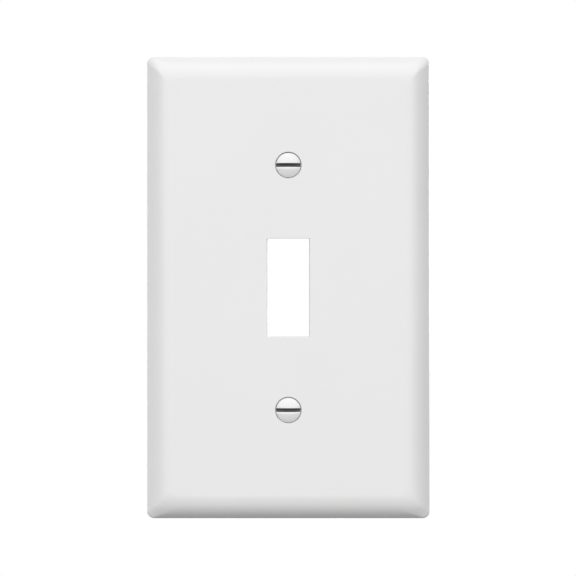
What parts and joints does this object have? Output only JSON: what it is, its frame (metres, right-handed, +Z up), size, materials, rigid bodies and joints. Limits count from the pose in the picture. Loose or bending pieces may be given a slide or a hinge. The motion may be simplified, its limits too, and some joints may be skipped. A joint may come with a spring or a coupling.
{
  "type": "wall plate cover",
  "caption": "Rectangular toggle-switch wall plate with a crowned border, a central rectangular opening, a hollow ribbed back and captive slotted oval-head screws.",
  "frame": {"origin": "centre of the wall plane, which is the plane of the plate's rear rim, midway between the two screws", "axes": "+Z up the plate, +X to the right as seen from the front, +Y into the wall; the front face looks along -Y"},
  "size_m": [0.0702, 0.0166, 0.1142],
  "materials": {
    "plate_plastic": "smooth moulded white plastic, soft gloss",
    "screw_enamel": "white enamel over zinc-plated steel",
    "washer_nylon": "natural nylon, slightly translucent"
  },
  "bodies": {
    "plate": {"cover_plate": "plate_plastic"},
    "upper_washer": {"upper_screw_retainer": "washer_nylon"},
    "upper_fixing": {"upper_screw": "screw_enamel"},
    "lower_washer": {"lower_screw_retainer": "washer_nylon"},
    "lower_fixing": {"lower_screw": "screw_enamel"}
  },
  "joints": [
    {"name": "upper_screw_turn", "type": "hinge", "parent": "plate", "child": "upper_washer", "pos_m": [0, 0, 0.03016], "axis": [0, -1, 0], "range_deg": [0, 5490]},
    {"name": "upper_screw_travel", "type": "slide", "parent": "upper_washer", "child": "upper_fixing", "axis": [0, -1, 0], "range_m": [0, 0.0121]},
    {"name": "lower_screw_turn", "type": "hinge", "parent": "plate", "child": "lower_washer", "pos_m": [0, 0, -0.03016], "axis": [0, -1, 0], "range_deg": [0, 5490]},
    {"name": "lower_screw_travel", "type": "slide", "parent": "lower_washer", "child": "lower_fixing", "axis": [0, -1, 0], "range_m": [0, 0.0121]}
  ],
  "couplings": [
    {"joint": "upper_screw_turn", "follows": "upper_screw_travel", "rad_per_m": 7915.8},
    {"joint": "lower_screw_turn", "follows": "lower_screw_travel", "rad_per_m": 7915.8}
  ]
}
